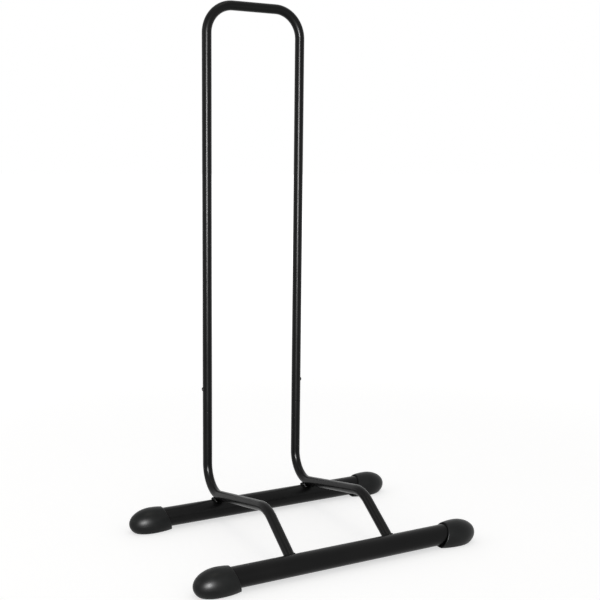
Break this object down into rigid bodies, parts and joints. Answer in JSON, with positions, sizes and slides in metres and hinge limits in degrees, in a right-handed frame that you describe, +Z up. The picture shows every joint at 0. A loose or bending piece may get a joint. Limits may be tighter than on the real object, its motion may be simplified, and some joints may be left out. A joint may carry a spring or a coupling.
{
  "type": "floor bike rack",
  "caption": "Free-standing floor stand for a bicycle: a tall tube hoop that holds the wheel, plugged onto a welded tube base on moulded end-cap feet.",
  "frame": {"origin": "on the floor, under the middle of the stand's bounding box", "axes": "+X along the base rails to the right, -Y towards the side the wheel rolls in from, +Z up"},
  "size_m": [0.388, 0.2754, 0.687],
  "materials": {
    "powder_coat": "semi-gloss black powder coat on steel tube",
    "end_cap": "satin black moulded elastomer",
    "button_steel": "black oxide, turned",
    "spring_steel": "bare spring steel strip"
  },
  "bodies": {
    "root": {"upper_hoop": "powder_coat", "left_lower_leg": "powder_coat", "right_lower_leg": "powder_coat", "front_rail": "powder_coat", "rear_rail": "powder_coat", "front_left_weld": "powder_coat", "front_right_weld": "powder_coat", "rear_left_weld": "powder_coat", "rear_right_weld": "powder_coat", "front_left_end_cap": "end_cap", "front_right_end_cap": "end_cap", "rear_left_end_cap": "end_cap", "rear_right_end_cap": "end_cap", "left_spring_clip": "spring_steel", "right_spring_clip": "spring_steel"},
    "left_button": {"left_snap_button": "button_steel"},
    "right_button": {"right_snap_button": "button_steel"}
  },
  "joints": [
    {"name": "left_button_press", "type": "slide", "parent": "root", "child": "left_button", "axis": [1, 0, 0], "range_m": [0, 0.00295], "stiffness_N_per_m": 1500, "springref_m": -0.002, "deforming": ["left_spring_clip"]},
    {"name": "right_button_press", "type": "slide", "parent": "root", "child": "right_button", "axis": [-1, 0, 0], "range_m": [0, 0.00295], "stiffness_N_per_m": 1500, "springref_m": -0.002, "deforming": ["right_spring_clip"]}
  ]
}
